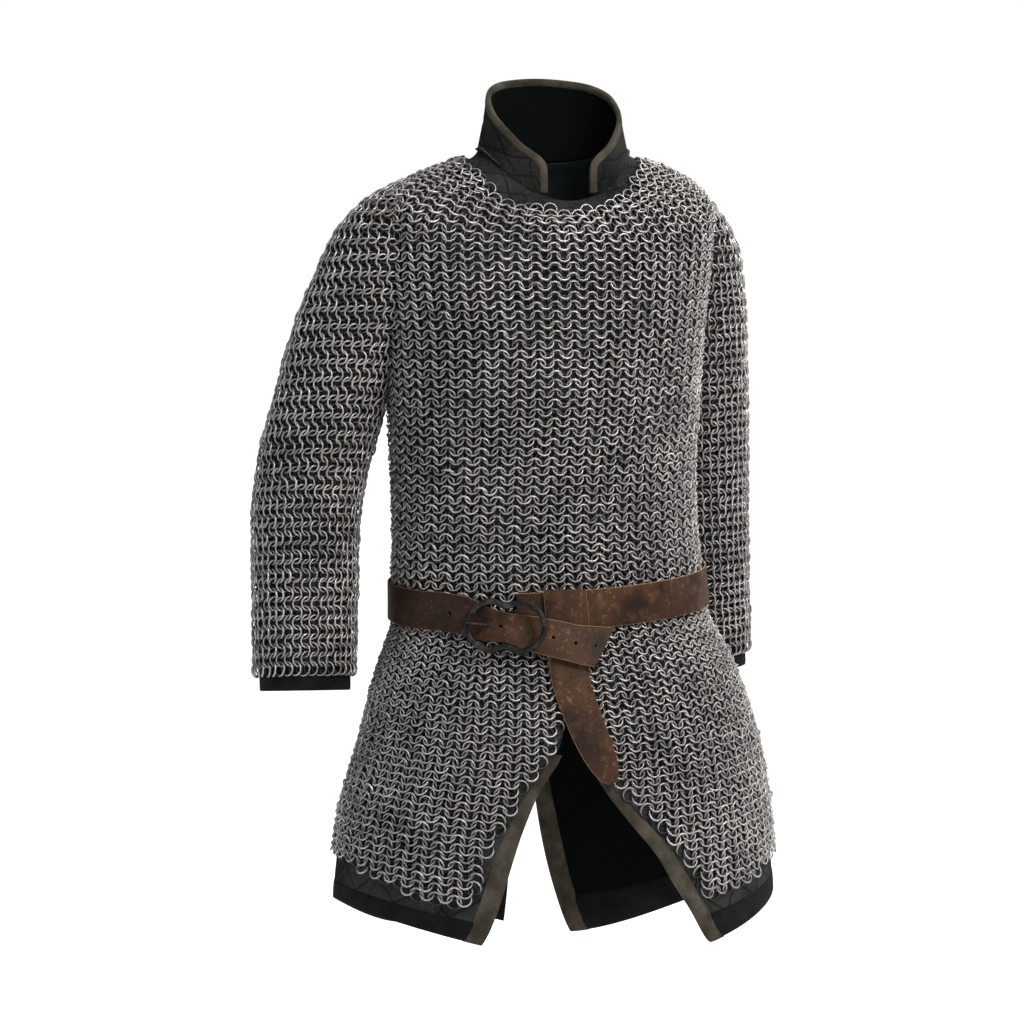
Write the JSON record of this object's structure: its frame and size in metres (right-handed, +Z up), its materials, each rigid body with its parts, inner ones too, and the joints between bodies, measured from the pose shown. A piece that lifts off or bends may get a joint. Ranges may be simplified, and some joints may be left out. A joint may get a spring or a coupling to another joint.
{
  "type": "chainmail hauberk",
  "caption": "Long-sleeved mail shirt with a split skirt over a quilted arming coat with a stand collar, closed by a knotted leather belt with an iron buckle.",
  "frame": {"origin": "middle of the neck opening at shoulder height, where the wearer's shoulders carry the garment", "axes": "+Z up the standing wearer, -Y to the front, +X to the wearer's left"},
  "size_m": [0.6124, 0.3507, 0.9907],
  "materials": {
    "mail_steel": "worn satin rings",
    "quilted_cloth": "matte woven, stitched",
    "edging_cloth": "matte woven, scuffed",
    "belt_leather": "worn satin",
    "forged_iron": "dark forged"
  },
  "bodies": {
    "root": {"belt_hitch": "belt_leather", "belt_strap": "belt_leather", "belt_tail": "belt_leather", "buckle_frame": "forged_iron", "buckle_pin": "forged_iron", "coat_back": "quilted_cloth", "coat_collar": "quilted_cloth", "coat_cuff_left": "edging_cloth", "coat_cuff_right": "edging_cloth", "coat_front": "quilted_cloth", "coat_skirt_back_left": "quilted_cloth", "coat_skirt_back_right": "quilted_cloth", "coat_skirt_front_left": "quilted_cloth", "coat_skirt_front_right": "quilted_cloth", "coat_sleeve_left": "quilted_cloth", "coat_sleeve_right": "quilted_cloth", "collar_edging": "edging_cloth", "hem_band_back_left": "edging_cloth", "hem_band_back_right": "edging_cloth", "hem_band_front_left": "edging_cloth", "hem_band_front_right": "edging_cloth", "mail_back": "mail_steel", "mail_front": "mail_steel", "mail_skirt_back_left": "mail_steel", "mail_skirt_back_right": "mail_steel", "mail_skirt_front_left": "mail_steel", "mail_skirt_front_right": "mail_steel", "mail_sleeve_left": "mail_steel", "mail_sleeve_right": "mail_steel", "split_edging_back_left": "edging_cloth", "split_edging_back_right": "edging_cloth", "split_edging_front_left": "edging_cloth", "split_edging_front_right": "edging_cloth"}
  },
  "joints": []
}
